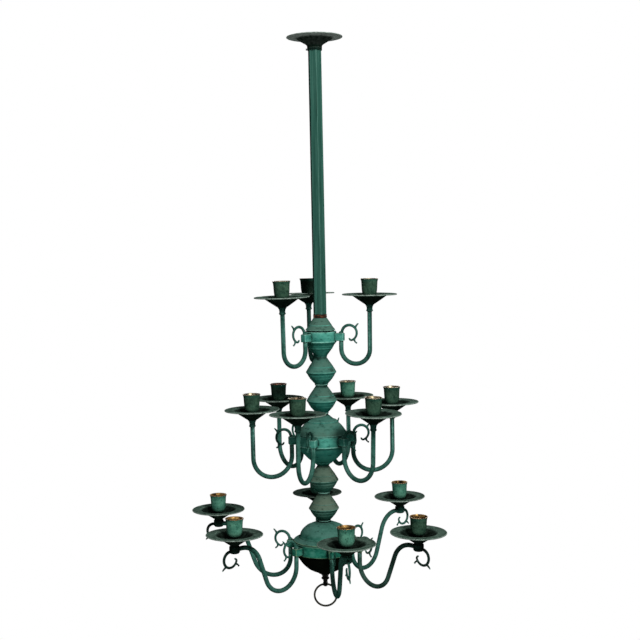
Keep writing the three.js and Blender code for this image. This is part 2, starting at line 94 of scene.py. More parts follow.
def curveThrough(points, perSpan=4):
    # a smooth line through the points, which stay on it
    ends = [points[0]] + list(points) + [points[-1]]
    line = []
    for i in range(1, len(ends) - 2):
        a, b, c, d = (Vector(ends[i + k]) for k in (-1, 0, 1, 2))
        for step in range(perSpan):
            t = step / perSpan
            line.append(tuple(0.5 * (2 * b + (c - a) * t + (2 * a - 5 * b + 4 * c - d) * t * t
                                     + (3 * b - a - 3 * c + d) * t ** 3)))
    return line + [tuple(points[-1])]


def bead(radius, z, size, fromDeg=-90, toDeg=90, steps=5):
    # a round moulding on a turned piece, standing out from radius at height z
    angles = [math.radians(fromDeg + (toDeg - fromDeg) * i / steps) for i in range(steps + 1)]
    return [(radius + size * math.cos(a), z + size * math.sin(a)) for a in angles]


def turnOnLathe(name, profile, steps=64, edgeWidth=0.0, centre=(0, 0, 0), longest=3.0):
    # draws half of the section as a chain of points, in mm, and spins it round Z; long runs get
    # points of their own, so that wear and the painted edge highlight stay near the edges
    for i in range(len(profile) - 1, 0, -1):
        start, end = Vector(profile[i - 1]), Vector(profile[i])
        spans = math.ceil((end - start).length / longest)
        profile = (profile[:i] + [tuple(start.lerp(end, k / spans)) for k in range(1, spans)]
                   + profile[i:])
    pickOnly()
    bpy.ops.mesh.primitive_plane_add(size=mm, location=(0, 0, 0))
    piece = bpy.context.object
    bpy.ops.object.mode_set(mode="EDIT")
    bpy.ops.mesh.merge(type="CENTER")
    spot = Vector((profile[0][0], 0, profile[0][1]))
    bpy.ops.transform.translate(value=spot * mm)
    for radius, height in profile[1:]:
        nextSpot = Vector((radius, 0, height))
        bpy.ops.mesh.extrude_region_move(TRANSFORM_OT_translate={"value": (nextSpot - spot) * mm})
        spot = nextSpot
    bpy.ops.mesh.select_all(action="SELECT")
    bpy.ops.mesh.spin(steps=steps, angle=math.tau, center=(0, 0, 0), axis=(0, 0, 1))
    bpy.ops.mesh.select_all(action="SELECT")
    bpy.ops.transform.translate(value=Vector(centre) * mm)
    return finishMesh(piece, name, edgeWidth)


def startRod(radius, start, sides=16):
    # a disc that looks along Z, ready to be extruded and spun into a rod
    pickOnly()
    bpy.ops.mesh.primitive_circle_add(vertices=sides, radius=radius * mm, fill_type="NGON",
                                      location=Vector(start) * mm)
    rod = bpy.context.object
    bpy.ops.object.mode_set(mode="EDIT")
    bpy.ops.mesh.select_all(action="SELECT")
    return rod


def runStraight(dx, dz):
    bpy.ops.mesh.extrude_region_move(TRANSFORM_OT_translate={"value": (dx * mm, 0, dz * mm)})


def runRound(centreX, centreZ, turn, steps):
    # a positive turn bends the rod upwards when it runs towards +X
    bpy.ops.mesh.spin(steps=steps, angle=math.radians(turn), axis=(0, 1, 0),
                      center=(centreX * mm, 0, centreZ * mm))


def sweepStrip(name, stations, thickness, sizes):
    # a casting: an oval that follows the stations (x, z, heading) with a width at each
    pickOnly()
    x, z, heading = stations[0]
    bpy.ops.mesh.primitive_circle_add(vertices=12, radius=0.5 * mm, fill_type="NGON",
                                      location=(x * mm, 0, z * mm))
    strip = bpy.context.object
    bpy.ops.object.mode_set(mode="EDIT")
    bpy.ops.mesh.select_all(action="SELECT")
    bpy.ops.transform.resize(value=(sizes[0], thickness, 1), center_override=(x * mm, 0, z * mm))
    bpy.ops.transform.rotate(value=math.radians(heading - 90), orient_axis="Y",
                             center_override=(x * mm, 0, z * mm))
    for i in range(1, len(stations)):
        nextX, nextZ, nextHeading = stations[i]
        bpy.ops.mesh.extrude_region_move(
            TRANSFORM_OT_translate={"value": ((nextX - x) * mm, 0, (nextZ - z) * mm)})
        spot = (nextX * mm, 0, nextZ * mm)
        bpy.ops.transform.rotate(value=math.radians(nextHeading - heading), orient_axis="Y",
                                 center_override=spot)
        share = sizes[i] / sizes[i - 1]
        bpy.ops.transform.resize(value=(share, share ** 0.6, share), center_override=spot)
        x, z, heading = nextX, nextZ, nextHeading
    return finishMesh(strip, name)


def arcStations(x, z, radius, fromHeading, toHeading, steps):
    # stations round (x, z), in mm and degrees; they turn upwards where the heading grows
    side = 1 if toHeading > fromHeading else -1
    headings = [fromHeading + (toHeading - fromHeading) * i / steps for i in range(steps + 1)]
    return [(x + side * radius * math.sin(math.radians(h)),
             z - side * radius * math.cos(math.radians(h)), h) for h in headings]


def weld(piece, *others):
    # one skin round overlapping pieces
    for other in others:
        applyModifier(piece, "BOOLEAN", object=other, operation="UNION", solver="EXACT")
        bpy.data.objects.remove(other, do_unlink=True)
    return piece


def cutAway(piece, tool):
    applyModifier(piece, "BOOLEAN", object=tool, operation="DIFFERENCE", solver="EXACT")
    bpy.data.objects.remove(tool, do_unlink=True)
    return piece


def copyPlaced(piece, name, matrix):
    # a copy with its own mesh, and its place in that mesh
    twin = piece.copy()
    twin.data = piece.data.copy()
    twin.data.transform(matrix)
    twin.data.update()
    twin.name = name
    twin.data.name = name
    bpy.context.collection.objects.link(twin)
    return twin


# Colours and materials

def colour(hexValue):
    # sRGB hex to the linear colour that a shader takes
    channels = [int(hexValue[i:i + 2], 16) / 255 for i in (1, 3, 5)]
    return tuple(c / 12.92 if c <= 0.04045 else ((c + 0.055) / 1.055) ** 2.4
                 for c in channels) + (1.0,)


def addNode(tree, kind, values=None, links=None, **settings):
    node = tree.nodes.new(kind)
    for key, value in settings.items():
        setattr(node, key, value)
    for key, value in (values or {}).items():
        node.inputs[key].default_value = value
    for key, source in (links or {}).items():
        tree.links.new(source, node.inputs[key])
    return node


def perMm(size):
    # noise scale for features of that size in mm
    return 1000 / size


def noise(tree, where, size, detail=4.0, rough=0.55):
    return addNode(tree, "ShaderNodeTexNoise",
                   {"Scale": perMm(size), "Detail": detail, "Roughness": rough},
                   {"Vector": where}).outputs["Fac"]


def spread(tree, value, low, high, toLow=0.0, toHigh=1.0):
    # low..high becomes toLow..toHigh
    return addNode(tree, "ShaderNodeMapRange",
                   {"From Min": low, "From Max": high, "To Min": toLow, "To Max": toHigh},
                   {"Value": value}).outputs["Result"]


def times(tree, a, b):
    links = {0: a} if isinstance(b, float) else {0: a, 1: b}
    values = {1: b} if isinstance(b, float) else {}
    return addNode(tree, "ShaderNodeMath", values, links, operation="MULTIPLY").outputs["Value"]


def tint(tree, amount, under, over):
    # paints the over colour on the under one where amount is high
    values = {}
    links = {"Factor": amount}
    for socket, paintColour in ((6, under), (7, over)):
        if isinstance(paintColour, str):
            values[socket] = colour(paintColour)
        else:
            links[socket] = paintColour
    return addNode(tree, "ShaderNodeMix", values, links, data_type="RGBA").outputs[2]


def newMaterial(name):
    material = bpy.data.materials.new(name)
    material.use_nodes = True
    tree = material.node_tree
    shader = tree.nodes["Principled BSDF"]
    where = addNode(tree, "ShaderNodeTexCoord").outputs["Object"]
    return material, tree, shader, where


def verdigrisPaint(name, look):
    # Brass under a brushed-on verdigris paint: matte and mottled; paler on its edges, partly rubbed
    # wear and partly painted highlight; dark in its grooves and corners, partly grime and partly
    # painted shade; with a
    # painted tone on what looks down: painted shade on most paints, painted light on the pans and the
    # canopy
    material, tree, shader, where = newMaterial(name)
    streaked = addNode(tree, "ShaderNodeMapping", {"Scale": look["streak"]},
                       {"Vector": where}).outputs["Vector"]
    geometry = addNode(tree, "ShaderNodeNewGeometry")
    upward = addNode(tree, "ShaderNodeSeparateXYZ",
                     links={"Vector": geometry.outputs["Normal"]}).outputs["Z"]
    clouds = noise(tree, streaked, look["cloudSize"])
    mottle = noise(tree, streaked, look["mottleSize"], 6.0, 0.65)
    specks = noise(tree, where, look["speckSize"], 2.0)
    # brushed colour: two greens in broad clouds, and a paler mottle over them
    skin = tint(tree, spread(tree, clouds, 0.36, 0.62), look["deep"], look["base"])
    skin = tint(tree, spread(tree, mottle, 0.48, 0.72, 0.0, look["mottle"]), skin, look["pale"])
    # dust on what looks up, painted shade on what looks down (painted light where that tone is paler
    # than the base, as on the pans and the canopy), and stains
    bloom = times(tree, spread(tree, upward, 0.05, 0.55, 0.0, look["bloom"]),
                  spread(tree, clouds, 0.3, 0.6, 0.45, 1.0))
    skin = tint(tree, bloom, skin, look["dust"])
    skin = tint(tree, spread(tree, upward, -0.05, -0.7, 0.0, look["paintedUndersideAmount"]), skin,
                look["paintedUndersideTone"])
    skin = tint(tree, spread(tree, mottle, 0.45, 0.3, 0.0, look["stain"]), skin, look["dark"])
    # rubbed edges: paler partly as real wear and partly as painted highlight on ridges and corners
    rubbedAndHighlit = times(tree, spread(tree, geometry.outputs["Pointiness"], *look["edge"]),
                   spread(tree, mottle, 0.35, 0.6, 0.3, look["wearAndHighlight"]))
    skin = tint(tree, rubbedAndHighlit, skin, look["wornAndHighlight"])
    # painted shade with some grime in wide corners, in narrow seams and in grooves, and specks
    for reach, clean, full, most in ((look["grimeAndShadeReach"], 0.9, 0.35, 0.92),
                                     (look["seam"], 0.85, 0.45, 0.85)):
        corner = addNode(tree, "ShaderNodeAmbientOcclusion", {"Distance": reach * mm},
                         samples=6).outputs["AO"]
        skin = tint(tree, spread(tree, corner, clean, full, 0.0, most), skin, look["dark"])
    crevice = spread(tree, geometry.outputs["Pointiness"], 0.49, 0.45, 0.0, 0.8)
    skin = tint(tree, crevice, skin, look["dark"])
    skin = tint(tree, spread(tree, specks, 0.66, 0.76, 0.0, 0.6), skin, look["dark"])
    if "waist" in look:
        # nearer to the axis than the waist's radius, in mm
        across = addNode(tree, "ShaderNodeVectorMath", {1: (1.0, 1.0, 0.0)}, {0: where},
                         operation="MULTIPLY").outputs["Vector"]
        radius = addNode(tree, "ShaderNodeVectorMath", links={0: across},
                         operation="LENGTH").outputs["Value"]
        narrow = spread(tree, radius, look["waist"] * mm, (look["waist"] - look["fade"]) * mm)
        nearAxisDarkening = times(tree, narrow, spread(tree, mottle, 0.25, 0.6, 0.95, 0.5))
        skin = tint(tree, nearAxisDarkening, skin, look["dark"])
    if "sootAndShade" in look:
        # burnt wax and soot down a pan's well; on the canopy the same dark colour in the cone is
        # painted shade
        depth = addNode(tree, "ShaderNodeAttribute", attribute_name="wellDepth").outputs["Fac"]
        sootAndShadeCover = times(tree, depth, spread(tree, mottle, 0.3, 0.7, 1.0, 0.82))
        skin = tint(tree, sootAndShadeCover, skin, look["sootAndShade"])
    tree.links.new(skin, shader.inputs["Base Color"])
    tree.links.new(spread(tree, mottle, 0.3, 0.7, look["rough"] - 0.1, look["rough"] + 0.12),
                   shader.inputs["Roughness"])
    shader.inputs["Metallic"].default_value = look["metal"]
    shader.inputs["Specular IOR Level"].default_value = look["gloss"]
    height = addNode(tree, "ShaderNodeMath", {1: 0.5}, {0: mottle, 2: specks},
                     operation="MULTIPLY_ADD").outputs["Value"]
    bump = addNode(tree, "ShaderNodeBump", {"Strength": 0.5, "Distance": look["relief"] * mm},
                   {"Height": height})
    tree.links.new(bump.outputs["Normal"], shader.inputs["Normal"])
    return material


def bareMetal(name, look):
    # Uncoated metal, tarnished in clouds, with fine scratches
    material, tree, shader, where = newMaterial(name)
    clouds = noise(tree, where, look["cloudSize"], 5.0, 0.6)
    scratches = noise(tree, where, look["scratchSize"], 3.0)
    skin = tint(tree, spread(tree, clouds, 0.4, 0.6), look["bright"], look["tarnish"])
    tree.links.new(skin, shader.inputs["Base Color"])
    tree.links.new(spread(tree, clouds, 0.35, 0.7, look["rough"], look["rough"] + 0.25),
                   shader.inputs["Roughness"])
    shader.inputs["Metallic"].default_value = look["metal"]
    bump = addNode(tree, "ShaderNodeBump", {"Strength": 0.4, "Distance": 0.06 * mm},
                   {"Height": scratches})
    tree.links.new(bump.outputs["Normal"], shader.inputs["Normal"])
    return material


# Paints: colours, then pattern sizes in mm, then how much of each effect shows
# the shaded colour, at the underside amount, is painted shade on what looks down; the grime reach
# paints shade into corners; the worn colour on edges is partly painted highlight
columnPaint = {
    "base": "#489282", "deep": "#286c60", "pale": "#76b5a5", "dark": "#04130d", "paintedUndersideTone": "#195a4d",
    "dust": "#435b50", "wornAndHighlight": "#8cc7b6",
    "cloudSize": 45.0, "mottleSize": 9.0, "speckSize": 1.6, "streak": (0.7, 0.7, 1.5),
    "grimeAndShadeReach": 14.0, "seam": 3.0, "relief": 0.1,
    "mottle": 0.3, "stain": 0.75, "bloom": 0.9, "paintedUndersideAmount": 0.75, "wearAndHighlight": 0.9,
    "edge": (0.515, 0.56), "rough": 0.5, "metal": 0.0, "gloss": 0.0,
}
turnedPaint = dict(columnPaint, waist=13.6, fade=1.8)   # darker near the axis, where two pieces meet
lowerColumnPaint = dict(turnedPaint, base="#4b7266", deep="#2c5347", pale="#7a8f7c",
                        dust="#566455", paintedUndersideTone="#17473a")
# its near-black shaded colour, at a strong underside amount, is painted shade on the bowl below the
# band
lowerHubPaint = dict(turnedPaint, base="#25705d", deep="#0f4a3b", dust="#466a60", wornAndHighlight="#7f9a72",
                     paintedUndersideTone="#080b06", paintedUndersideAmount=2.2, stain=0.7)
armPaint = dict(columnPaint, base="#366459", deep="#20493e", paintedUndersideTone="#14392f", pale="#5f8d80",
                mottleSize=5.0, cloudSize=30.0, streak=(1.0, 1.0, 1.0), bloom=0.25, stain=0.5,
                edge=(0.56, 0.62))
dullArmPaint = dict(armPaint, base="#35544a", deep="#1f362e", pale="#56756b", paintedUndersideTone="#14271f")
tubePaint = dict(columnPaint, base="#335f53", deep="#22483e", pale="#4c7065", wornAndHighlight="#82a89b",
                 cloudSize=26.0, mottleSize=6.0, streak=(2.0, 2.0, 0.06), stain=0.75, mottle=0.45)
# near-black ends: painted shade on the lower arms' ends under the pans
shadedEndPaint = dict(armPaint, base="#1b3029", deep="#0b1612", pale="#3c5a4e", paintedUndersideTone="#08110d",
                dust="#2a3f36")
# its shaded colour is paler than its base: painted light on the undersides of the pans
panPaint = dict(columnPaint, base="#2c4037", deep="#17231d", pale="#6b7f73", dark="#060c09",
                paintedUndersideTone="#3c5a4b", dust="#4a5d53", wornAndHighlight="#a3b3a8", sootAndShade="#050906", bloom=0.55,
                paintedUndersideAmount=0.85, cloudSize=26.0, mottleSize=7.0, streak=(1.0, 1.0, 1.0), rough=0.5,
                grimeAndShadeReach=12.0, mottle=0.7, stain=0.8)
# its shaded colour is far paler than its base: painted light on the brim's underside; its soot colour
# keeps the cone dark as painted shade
canopyPaint = dict(panPaint, base="#46504b", deep="#2c3531", pale="#6c7772", paintedUndersideTone="#8a958f",
                   sootAndShade="#07170f", paintedUndersideAmount=0.9, grimeAndShadeReach=8.0)
cupPaint = dict(columnPaint, base="#569079", deep="#336a59", pale="#7aac96", wornAndHighlight="#83784a",
                cloudSize=18.0, mottleSize=4.0, streak=(1.0, 1.0, 1.0), bloom=0.1)
oldCupPaint = dict(cupPaint, base="#3a5645", deep="#1f352a", pale="#587860", stain=0.8)
# near-black cups: painted shade on the cups on the far side
shadedBackCupPaint = dict(cupPaint, base="#1c2c24", deep="#0d1712", pale="#34483c", stain=0.8)

# Bare metals
brassLook = {"bright": "#86683c", "tarnish": "#1a120b", "cloudSize": 9.0, "scratchSize": 0.8,
             "rough": 0.28, "metal": 1.0}
paleBrassLook = dict(brassLook, bright="#857a62", tarnish="#221b13")
copperLook = {"bright": "#55301c", "tarnish": "#1c110b", "cloudSize": 7.0, "scratchSize": 0.8,
              "rough": 0.4, "metal": 0.8}
bronzeLook = {"bright": "#0d0e0b", "tarnish": "#040504", "cloudSize": 9.0, "scratchSize": 0.8,
              "rough": 0.42, "metal": 1.0}
ringLook = dict(bronzeLook, bright="#37372f", tarnish="#11120f", rough=0.3)
steelLook = {"bright": "#9a9a96", "tarnish": "#5c554c", "cloudSize": 14.0, "scratchSize": 0.6,
             "rough": 0.35, "metal": 1.0}

# Painted brass, and what the paint gives the eye
columnVerdigris = verdigrisPaint("verdigrisPaintColumn", turnedPaint)             # fresh sea green
lowerColumnVerdigris = verdigrisPaint("greyedVerdigrisColumn", lowerColumnPaint)  # greyed by dust
lowerHubVerdigris = verdigrisPaint("deepVerdigrisHub", lowerHubPaint)             # deep; black below is painted shade
armVerdigris = verdigrisPaint("verdigrisPaintArm", armPaint)                      # dull, handled green
dullArmVerdigris = verdigrisPaint("dulledVerdigrisArm", dullArmPaint)             # duller still
tubeVerdigris = verdigrisPaint("verdigrisPaintTube", tubePaint)                   # long brush streaks
shadedEndVerdigris = verdigrisPaint("shadedVerdigrisEnd", shadedEndPaint)                  # nearly black: painted shade on the lower arms' ends and the collar
panVerdigris = verdigrisPaint("darkVerdigrisPan", panPaint)                       # sooty well; pale rim partly painted highlight; undersides lightened as painted light
canopyVerdigris = verdigrisPaint("verdigrisCanopyPaintedLight", canopyPaint)            # grey brim is painted light, dark cone is painted shade
cupVerdigris = verdigrisPaint("verdigrisPaintCup", cupPaint)                      # clean mid green
oldCupVerdigris = verdigrisPaint("oliveVerdigrisCup", oldCupPaint)                # gone olive
shadedBackCupVerdigris = verdigrisPaint("shadedVerdigrisCup", shadedBackCupPaint)          # nearly black: painted shade on the cups on the far side

# Metal without paint
yellowBrass = bareMetal("yellowBrassTarnished", brassLook)   # gold glints in brown tarnish
paleBrass = bareMetal("paleBrassTarnished", paleBrassLook)   # the same, paler
brownCopper = bareMetal("brownedBrassRing", copperLook)      # brown, with a dull shine
blackBronze = bareMetal("blackenedBrass", bronzeLook)        # black, with a soft shine
rubbedBronze = bareMetal("rubbedBrassWire", ringLook)        # black, rubbed grey
plainSteel = bareMetal("turnedSteel", steelLook)             # grey, with fine scratches
print("materials ready")


# The frame's own places

def topOf(node):
    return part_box(node)[1][2] / mm


def bottomOf(node):
    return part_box(node)[0][2] / mm


def settle(piece, material, body, slot, *nodes):
    # finish, body, record slot (not used) and the CAD node that the piece stands for
    if material:
        piece.data.materials.clear()
        piece.data.materials.append(material)
    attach(piece, body)
    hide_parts(*nodes)


def lowered(profile, top):
    return [(radius, height + top) for radius, height in profile]


# Column: outlines as radius and height under the piece's top, in mm

columnSizes = {"steps": 72, "edge": 0.45, "rodBore": 4.4}

upperHubOutside = [
    (12.2, 0), (13.4, -1.2), (20.6, -12.2), (21.6, -13.4), (21.6, -14.6), (22.4, -15.4),
    (27.9, -22.4), (28.3, -22.9), (26.0, -23.5), (26.0, -25.1), (29.6, -25.6), (29.9, -27.0),
    (29.9, -43.6), (30.1, -44.2), (30.1, -45.6), (28.9, -46.6), (27.6, -48.6), (25.6, -50.6),
    (23.6, -54.6), (22.6, -55.6), (22.4, -57.4), (21.0, -58.6), (12.2, -70.4), (11.4, -73.5)]
middleHubOutside = [
    (11.4, 0), (12.4, -1.6), (21.6, -9.4), (27.2, -11.4), (28.6, -12.6), (28.8, -14.4)] + \
    curveThrough([(29.8, -15.6), (36.6, -22.0), (42.6, -30.0), (46.8, -35.4)]) + [
    (48.2, -35.6), (48.8, -36.6), (48.0, -37.8), (48.9, -38.6), (48.9, -56.6), (49.3, -57.2),
    (49.2, -58.6), (46.2, -59.4)] + \
    curveThrough([(45.2, -60.6), (41.6, -67.0), (36.0, -74.6), (28.4, -83.0), (20.4, -89.4)]) + [
    (18.6, -90.2), (18.2, -91.8), (13.2, -94.6), (12.6, -95.6), (11.4, -97.0)]
lowerHubOutside = \
    curveThrough([(14.2, 0), (16.6, -1.4), (20.4, -2.8), (26.4, -5.0)]) + [
    (33.6, -8.2), (34.8, -9.2)] + \
    curveThrough([(36.2, -10.2), (41.6, -15.4), (44.9, -20.6), (46.6, -26.0)]) + [
    (47.4, -27.2), (47.6, -28.6), (52.6, -30.4), (57.6, -33.2), (58.8, -34.2), (57.8, -35.4),
    (59.2, -36.4), (59.3, -54.4), (59.3, -56.4), (55.6, -57.2)] + \
    curveThrough([(54.4, -58.6), (51.0, -66.0), (46.2, -73.6), (40.0, -81.4), (32.0, -88.6)]) + [
    (25.0, -92.6), (23.4, -93.4), (20.6, -94.4), (14.4, -97.6), (13.2, -98.8), (9.4, -100.0)]
balusterOutside = [
    (11.0, 0), (11.6, -1.8), (21.4, -15.8), (22.9, -17.8), (23.1, -19.4), (24.2, -20.2),
    (28.0, -26.8), (28.6, -27.9), (28.3, -29.1), (26.0, -32.0), (25.4, -32.6), (25.2, -34.0),
    (22.8, -37.8), (22.0, -38.6), (21.6, -40.0), (13.4, -49.2), (12.4, -50.2)] + \
    bead(11.4, -51.7, 1.3, 60, -60, 4) + [(11.2, -53.5)]


def hollowTurning(name, outside):
    # the outside, and a bore for the rod up through it
    height = topOf(name) - bottomOf(name)
    bore = columnSizes["rodBore"]
    profile = [(bore, 0)] + outside + [(bore, -height), (bore, 0)]
    return turnOnLathe(name + "_fine", lowered(profile, topOf(name)), columnSizes["steps"],
                       columnSizes["edge"])


lugSizes = {"width": 12.4, "height": 14.7, "overhang": 5.6, "chamfer": 1.5, "root": 2.0,
            "bore": 3.6, "standoff": 10.2}


def makeLug():
    # block with a hole down through it, with the pin's axis on Z and its root towards -X
    pickOnly()
    length = lugSizes["overhang"] + lugSizes["standoff"] + lugSizes["root"]
    middle = lugSizes["overhang"] - length / 2
    bpy.ops.mesh.primitive_cube_add(size=mm, location=(middle * mm, 0, 0))
    lug = bpy.context.object
    bpy.ops.object.mode_set(mode="EDIT")
    bpy.ops.mesh.select_all(action="SELECT")
    bpy.ops.transform.resize(value=(length, lugSizes["width"], lugSizes["height"]),
                             center_override=(middle * mm, 0, 0))
    bpy.ops.mesh.subdivide(number_cuts=5)
    finishMesh(lug, "lug")
    applyModifier(lug, "BEVEL", width=lugSizes["chamfer"] * mm, segments=3, limit_method="ANGLE")
    pickOnly()
    bpy.ops.mesh.primitive_cylinder_add(vertices=24, radius=lugSizes["bore"] * mm,
                                        depth=2 * lugSizes["height"] * mm)
    return cutAway(lug, bpy.context.object)


# Arms: where they stand comes from the frame, and their own sizes are here

# from an arm's pin, in mm: out to its pan's middle, up to its brim and down to the first bend
tiers = {
    "upper": {"count": 3, "reach": 55.5, "brimRise": 80.8, "bendDrop": 21.8, "bendSteps": 32},
    "middle": {"count": 6, "reach": 76.5, "brimRise": 64.9, "bendDrop": 26.8, "bendSteps": 32},
    "lower": {"count": 6, "reach": 146.4, "brimRise": 58.5, "bendDrop": 27.0, "bendSteps": 26,
              "bendRadius": 37.5, "climb": 69.0, "crestRadius": 43.4, "crestSteps": 12},
}
panDepth = 19.6   # from a pan's brim to its seat
joints = {joint["name"]: joint for joint in frame["record"]["behaviour"]["joints"]}


def pinPlace(tierName, i):
    # where the arm's pin stands, with +X along the arm and its droop, as the frame has it
    pin = Vector(joints[f"{tierName}_arm_{i}_swivel"]["pos_m"])
    low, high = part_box(f"{tierName}_pan_{i}")
    out = (Vector(low) + Vector(high)) / 2 - pin
    tier = tiers[tierName]
    level = math.atan2(tier["brimRise"] - panDepth / 2, tier["reach"])
    droop = level - math.atan2(out.z, math.hypot(out.x, out.y))
    azimuth = math.atan2(out.y, out.x)
    return Matrix.Translation(pin) @ Matrix.Rotation(azimuth, 4, "Z") @ Matrix.Rotation(droop, 4, "Y")


scrollSizes = {"radius": 14.4, "hookRadius": 3.6, "root": 5.8, "tip": 3.3, "thick": 4.6,
               "ball": 1.75, "spurThick": 4.0, "spurWidths": (5.4, 4.6, 3.9, 3.4, 3.0, 2.7, 1.8)}
shoulderSpur = {"clock": 40, "heading": 66, "bend": -24, "length": 11.0}
tailSpur = {"clock": -50, "heading": -96, "bend": 62, "length": 9.0}


def makeSpur(lead, shape):
    # a leaf that leaves the scroll at that clock angle and bends on its way
    angle = math.radians(shape["clock"])
    x = scrollSizes["radius"] * (1 + math.cos(angle))
    z = lead + scrollSizes["radius"] * math.sin(angle)
    steps = len(scrollSizes["spurWidths"]) - 1
    path = [(x, z, shape["heading"])]
    for i in range(1, steps + 1):
        heading = math.radians(shape["heading"] + shape["bend"] * i / steps)
        x += shape["length"] / steps * math.cos(heading)
        z += shape["length"] / steps * math.sin(heading)
        path.append((x, z, math.degrees(heading)))
    leaf = sweepStrip("spur", path, scrollSizes["spurThick"], scrollSizes["spurWidths"])
    return leaf, (x, z)


def makeScroll(name, lead):
    # C-shaped casting on a straight lead, with a spur at its shoulder and a curled tail below
    s = scrollSizes
    stations = arcStations(s["radius"], lead, s["radius"], 90, -160, 22)
    if lead:
        stations = [(0, 0, 90)] + stations
    endX, endZ, heading = stations[-1]
    hookX = endX + s["hookRadius"] * math.sin(math.radians(heading))
    hookZ = endZ - s["hookRadius"] * math.cos(math.radians(heading))
    stations += arcStations(hookX, hookZ, s["hookRadius"], heading, -275, 6)[1:]
    last = len(stations) - 1
    sizes = [s["root"] + (s["tip"] - s["root"]) * (i / last) ** 1.3 for i in range(last + 1)]
    curl = sweepStrip(name, stations, s["thick"], sizes)
    shoulder = makeSpur(lead, shoulderSpur)[0]
    tail, tip = makeSpur(lead, tailSpur)
    pickOnly()
    bpy.ops.mesh.primitive_uv_sphere_add(segments=14, ring_count=8, radius=s["ball"] * mm,
                                         location=(tip[0] * mm, 0, tip[1] * mm))
    weld(curl, shoulder, tail, bpy.context.object)
    smoothShade(curl, 40)
    return curl


armSizes = {"rod": 4.25, "sides": 18, "lugGap": 0.4, "ferruleLength": 7.0, "rodBelowSeat": 8.2,
            "scrollOut": 1.5, "scrollUp": 0.2, "hangingOut": 2.6, "hangingDown": 2.2,
            "hangingLead": 7.0}
lugUnder = -lugSizes["height"] / 2 - armSizes["lugGap"]
pinOutside = [(0, lugUnder - 1.4), (2.8, lugUnder - 1.4), (2.8, -lugUnder), (4.4, -lugUnder),
              (4.4, -lugUnder + 0.9), (3.6, -lugUnder + 1.8), (2.6, -lugUnder + 3.0),
              (0, -lugUnder + 3.0)]
ferruleOutside = [(0, -13.6), (4.4, -13.6), (5.3, -12.9)] + bead(5.2, -11.4, 1.2, -60, 60, 5) + [
    (5.6, -9.8), (5.4, -8.0), (5.6, -5.4), (6.5, -2.6), (7.8, -0.9), (7.8, -0.2), (0, -0.2)]
bossOutside = [(0, -15.5), (5.0, -15.5), (7.8, -14.6), (9.3, -12.8), (9.6, -11.4), (9.6, -3.2),
               (9.1, -2.2), (8.2, -1.6), (8.2, -0.2), (0, -0.2)]


def bendUpright(tier, seat):
    # the upper tiers: half a turn, then straight up to a ferrule under the pan
    runRound(tier["reach"] / 2, -tier["bendDrop"], 180, tier["bendSteps"])
    runStraight(0, seat - armSizes["ferruleLength"] + tier["bendDrop"])


def bendSwan(tier, seat):
    # the lower tier: down, up a slope, over a crest and level into a boss under the pan
    radius, crest, climb = tier["bendRadius"], tier["crestRadius"], math.radians(tier["climb"])
    runRound(radius, -tier["bendDrop"], 90 + tier["climb"], tier["bendSteps"])
    rodZ = seat - armSizes["rodBelowSeat"]
    lowX = radius + radius * math.sin(climb)
    lowZ = -tier["bendDrop"] - radius * math.cos(climb)
    rise = rodZ - crest + crest * math.cos(climb) - lowZ
    runStraight(rise / math.tan(climb), rise)
    crestX = lowX + rise / math.tan(climb) + crest * math.sin(climb)
    runRound(crestX, rodZ - crest, -tier["climb"], tier["crestSteps"])
    runStraight(tier["reach"] - crestX, 0)


def makeHangingScroll(tier, seat):
    # the scroll that a lower arm's boss carries, turned to hang
    hanging = makeScroll("hangingScroll", armSizes["hangingLead"])
    x = tier["reach"] + armSizes["hangingOut"]
    z = seat - armSizes["rodBelowSeat"] - armSizes["hangingDown"]
    pickOnly(hanging)
    hanging.data.transform(Matrix.Translation(Vector((x, 0, z)) * mm)
                           @ Matrix.Rotation(math.radians(90), 4, "Y"))
    return hanging


def makeArm(tierName):
    # one casting round rod, pin, scroll and end; the lower tier's ends have a finish of their own
    tier = tiers[tierName]
    seat = tier["brimRise"] - panDepth
    swan = "climb" in tier
    rod = startRod(armSizes["rod"], (0, 0, lugUnder), armSizes["sides"])
    runStraight(0, -tier["bendDrop"] - lugUnder)
    if swan:
        bendSwan(tier, seat)
    else:
        bendUpright(tier, seat)
    finishMesh(rod, tierName + "_arm_fine")
    rod.data.materials.append(armVerdigris)
    if swan:
        rod.data.materials.append(shadedEndVerdigris)
        boss = turnOnLathe("boss", lowered(bossOutside, seat), 32, 0.3, (tier["reach"], 0, 0))
        ends = [boss, makeHangingScroll(tier, seat)]
        for piece in ends:
            piece.data.materials.append(armVerdigris)
            piece.data.materials.append(shadedEndVerdigris)
            for face in piece.data.polygons:
                face.material_index = 1
    else:
        ends = [turnOnLathe("ferrule", lowered(ferruleOutside, seat), 32, 0.15,
                            (tier["reach"], 0, 0))]
    pin = turnOnLathe("pin", pinOutside, 24)
    scroll = makeScroll("scroll", 0)
    scroll.data.transform(Matrix.Translation((armSizes["scrollOut"] * mm, 0,
                                              (armSizes["scrollUp"] - lugUnder) * mm)))
    weld(rod, pin, scroll, *ends)
    smoothShade(rod, 38)
    return rod


# Pans and cups, each in its own frame with the pan's brim at 0

panSizes = {"sheet": 1.2, "steps": 80, "rim": 1.05, "rimRadius": 49.8, "crease": 34.6, "sootAndShadeFade": 3.5}
panTop = [(49.6, -0.05), (48.4, -0.5), (47.4, -0.7), (46.4, -0.5), (41.0, -0.6), (39.6, -0.8),
          (38.4, -0.6), (35.4, -0.6), (34.0, -1.0)]
panCone = [(34.0, -1.0), (29.4, -3.6), (22.4, -8.6), (15.0, -13.6), (10.4, -16.8), (8.4, -18.4)]


